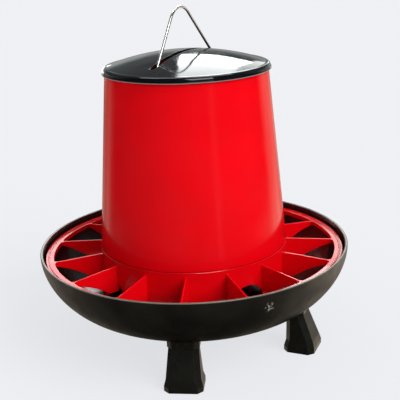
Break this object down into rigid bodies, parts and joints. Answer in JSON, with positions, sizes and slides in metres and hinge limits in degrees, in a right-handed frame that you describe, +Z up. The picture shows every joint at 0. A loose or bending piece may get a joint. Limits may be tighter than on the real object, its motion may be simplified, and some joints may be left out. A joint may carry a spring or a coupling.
{
  "type": "poultry feeder",
  "caption": "Hopper feeder for poultry: a red hopper on a slotted grill in a round black pan on short legs, with a domed lid and a bent wire hanger.",
  "frame": {"origin": "on the floor, under the middle of the round pan", "axes": "+Z up, -Y towards the front where one leg stands almost in the middle, +X to the right of the front"},
  "size_m": [0.36, 0.36, 0.3909],
  "materials": {
    "red_plastic": "glossy red moulded plastic",
    "pan_plastic": "satin black moulded plastic",
    "lid_plastic": "high-gloss black moulded plastic",
    "leg_plastic": "satin black moulded plastic",
    "steel_wire": "bright drawn wire"
  },
  "bodies": {
    "root": {"pan": "pan_plastic", "grill": "red_plastic", "hopper": "red_plastic", "lid": "lid_plastic", "hanger": "steel_wire", "front_leg": "leg_plastic", "right_leg": "leg_plastic", "back_leg": "leg_plastic"}
  },
  "joints": []
}
